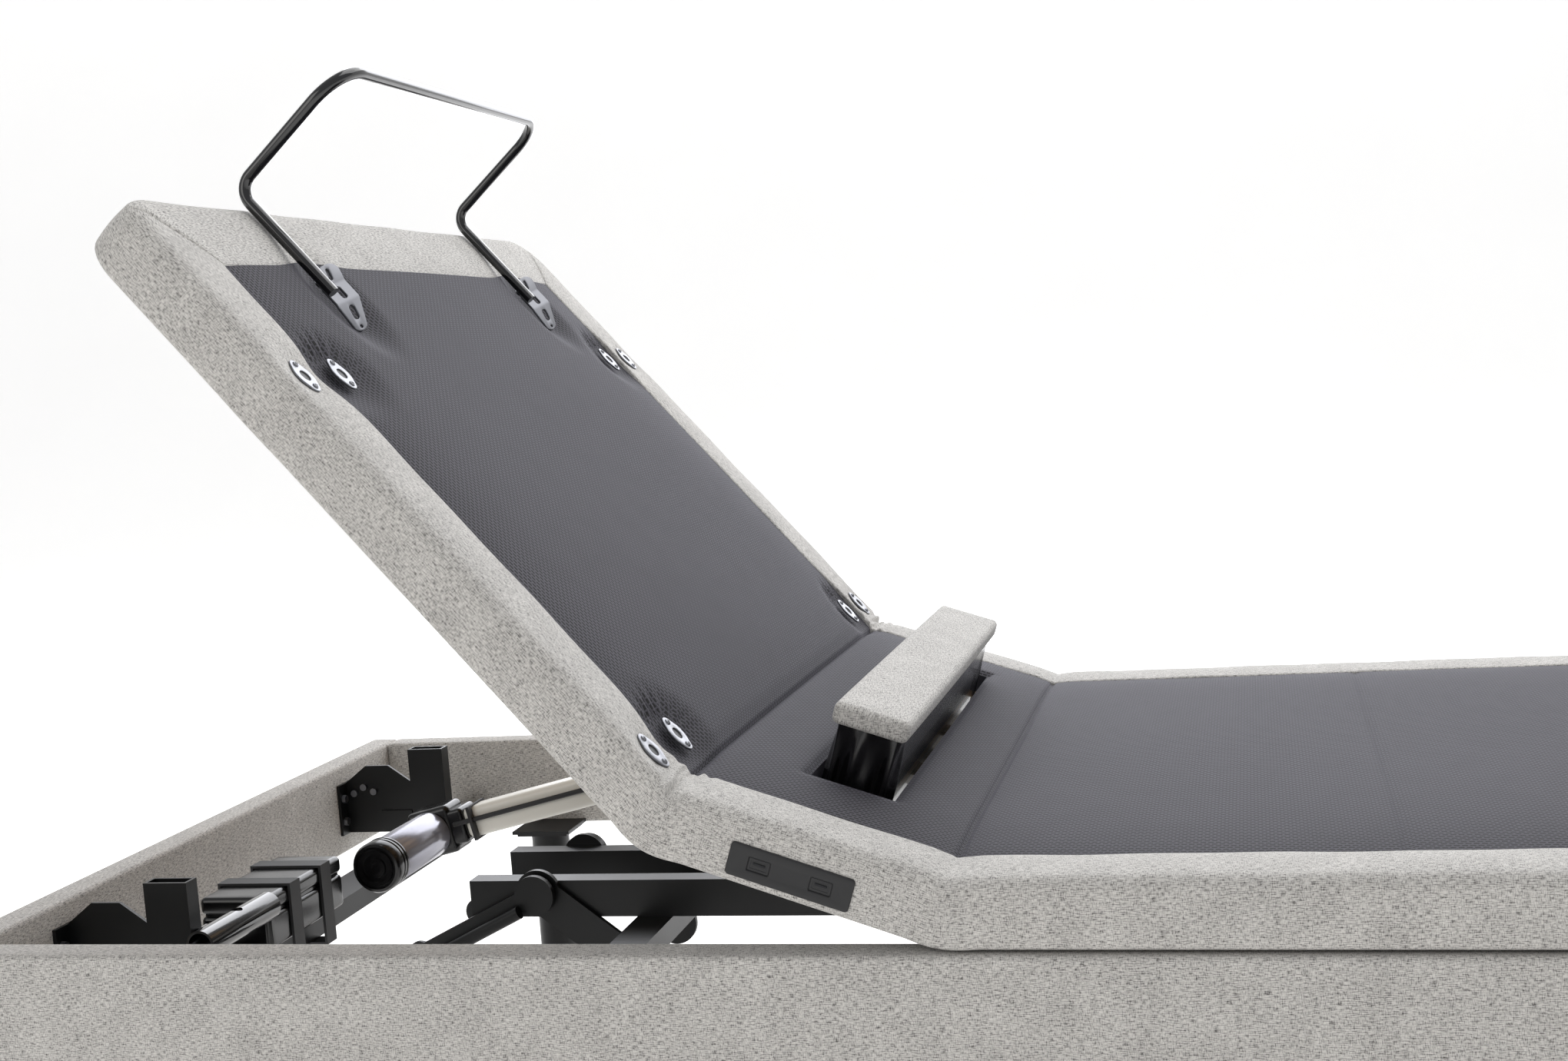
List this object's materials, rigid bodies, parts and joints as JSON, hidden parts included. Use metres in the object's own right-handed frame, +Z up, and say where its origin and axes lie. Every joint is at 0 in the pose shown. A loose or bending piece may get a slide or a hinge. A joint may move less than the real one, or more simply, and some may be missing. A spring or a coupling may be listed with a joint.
{
  "type": "adjustable bed base",
  "caption": "Upholstered adjustable bed base, head raised, with lumbar bar, mattress retainer, lift linkage and separate head and foot drives.",
  "frame": {"origin": "on the floor, under the middle of the surround", "axes": "+X toward the foot end, +Y across the bed toward the side without the charging panel, +Z up"},
  "size_m": [2.032, 0.965, 1.1043],
  "materials": {
    "rail_fabric": "heather grey upholstery",
    "deck_fabric": "heather grey upholstery",
    "spacer_mesh": "charcoal knitted spacer mesh",
    "black_vinyl": "glossy black vinyl",
    "black_steel": "satin black powder coat",
    "gloss_rod": "gloss black enamel",
    "plated_steel": "zinc plated",
    "black_plastic": "moulded black",
    "motor_shell": "satin",
    "pale_tube": "off-white",
    "strap_rubber": "matt",
    "plywood": "sanded"
  },
  "bodies": {
    "root": {"head_rail": "rail_fabric", "left_rail": "rail_fabric", "right_rail": "rail_fabric", "foot_rail": "rail_fabric", "legs": "black_steel", "cross_tubes": "black_steel", "beams": "black_steel", "beam_struts": "black_steel", "rest_posts": "black_steel", "gusset_plates": "black_steel", "gusset_bolts": "plated_steel", "control_box": "black_plastic", "box_straps": "strap_rubber", "carrier_tube": "black_steel", "pivot_brackets": "black_steel", "seat_frame": "black_steel", "seat_board": "plywood", "seat_rims": "deck_fabric", "seat_mesh": "spacer_mesh", "seat_hinges": "plated_steel"},
    "lumbar_section": {"lumbar_frame": "black_steel", "lumbar_board": "plywood", "lumbar_rims": "deck_fabric", "lumbar_mesh": "spacer_mesh", "lumbar_hinges": "plated_steel", "usb_panel": "black_plastic", "usb_ports": "plated_steel", "lumbar_brackets": "black_steel", "bar_drive": "black_plastic"},
    "lumbar_bar": {"bar_cap": "deck_fabric", "bar_carrier": "plated_steel", "bar_skirt": "black_vinyl"},
    "back_section": {"back_frame": "black_steel", "back_board": "plywood", "back_rim": "deck_fabric", "back_mesh": "spacer_mesh", "back_hinges": "plated_steel", "retainer_bar": "gloss_rod", "retainer_brackets": "plated_steel", "retainer_sockets": "plated_steel", "back_fasteners": "plated_steel", "link_lugs": "black_steel"},
    "lift_arm": {"lift_arms": "black_steel"},
    "lift_link": {"lift_links": "black_steel"},
    "head_actuator": {"head_motor": "motor_shell", "head_gearbox": "black_plastic", "head_tube": "pale_tube", "head_cable": "strap_rubber"},
    "head_rod": {"head_rod": "plated_steel"},
    "thigh_section": {"thigh_frame": "black_steel", "thigh_rims": "deck_fabric", "thigh_mesh": "spacer_mesh", "thigh_hinges": "plated_steel"},
    "foot_section": {"foot_frame": "black_steel", "foot_rim": "deck_fabric", "foot_mesh": "spacer_mesh", "foot_hinges": "plated_steel"},
    "foot_link": {"foot_links": "black_steel"},
    "foot_actuator": {"foot_actuator": "black_plastic"},
    "foot_rod": {"foot_rod": "plated_steel"}
  },
  "joints": [
    {"name": "lumbar_tilt", "type": "hinge", "parent": "root", "child": "lumbar_section", "pos_m": [-0.048, 0, 0.336], "axis": [0, 1, 0], "range_deg": [-19, 6]},
    {"name": "back_tilt", "type": "hinge", "parent": "lumbar_section", "child": "back_section", "pos_m": [-0.28438, 0, 0.41739], "axis": [0, 1, 0], "range_deg": [-30.6, 9.75]},
    {"name": "bar_rise", "type": "slide", "parent": "lumbar_section", "child": "lumbar_bar", "axis": [0.3256, 0, 0.9455], "range_m": [-0.07, 0], "deforming": ["bar_skirt"]},
    {"name": "lift_arm_swing", "type": "hinge", "parent": "root", "child": "lift_arm", "pos_m": [-0.061, 0, 0.2485], "axis": [0, 1, 0], "range_deg": [-36.8, 11.7]},
    {"name": "lift_link_swing", "type": "hinge", "parent": "back_section", "child": "lift_link", "pos_m": [-0.39989, 0, 0.48181], "axis": [0, 1, 0], "range_deg": [-15.8, 49.5]},
    {"name": "head_actuator_swing", "type": "hinge", "parent": "root", "child": "head_actuator", "pos_m": [-0.835, 0, 0.232], "axis": [0, -1, 0], "range_deg": [-6.5, 2.1]},
    {"name": "head_rod_stroke", "type": "slide", "parent": "head_actuator", "child": "head_rod", "axis": [0.974, 0, 0.2266], "range_m": [-0.0158, 0.0052]},
    {"name": "thigh_tilt", "type": "hinge", "parent": "root", "child": "thigh_section", "pos_m": [0.32, 0, 0.336], "axis": [0, -1, 0], "range_deg": [0, 30]},
    {"name": "foot_tilt", "type": "hinge", "parent": "thigh_section", "child": "foot_section", "pos_m": [0.61, 0, 0.336], "axis": [0, -1, 0], "range_deg": [-33.2, 0]},
    {"name": "foot_link_swing", "type": "hinge", "parent": "root", "child": "foot_link", "pos_m": [0.504, 0, 0.26], "axis": [0, -1, 0], "range_deg": [0, 32.2]},
    {"name": "foot_actuator_swing", "type": "hinge", "parent": "root", "child": "foot_actuator", "pos_m": [-0.01, 0, 0.242], "axis": [0, -1, 0], "range_deg": [0, 2]},
    {"name": "foot_rod_stroke", "type": "slide", "parent": "foot_actuator", "child": "foot_rod", "axis": [0.9981, 0, -0.0624], "range_m": [0, 0.0602]}
  ],
  "couplings": [
    {"joint": "back_tilt", "follows": "lumbar_tilt", "ratio": 1.605},
    {"joint": "lift_arm_swing", "follows": "lumbar_tilt", "ratio": 1.93},
    {"joint": "lift_link_swing", "follows": "lumbar_tilt", "ratio": -2.593},
    {"joint": "head_actuator_swing", "follows": "lumbar_tilt", "ratio": 0.338},
    {"joint": "head_rod_stroke", "follows": "lumbar_tilt", "m_per_rad": 0.0466},
    {"joint": "foot_tilt", "follows": "thigh_tilt", "ratio": -1.1},
    {"joint": "foot_link_swing", "follows": "thigh_tilt", "ratio": 1.065},
    {"joint": "foot_actuator_swing", "follows": "thigh_tilt", "ratio": 0.0614},
    {"joint": "foot_rod_stroke", "follows": "thigh_tilt", "m_per_rad": 0.1138}
  ]
}
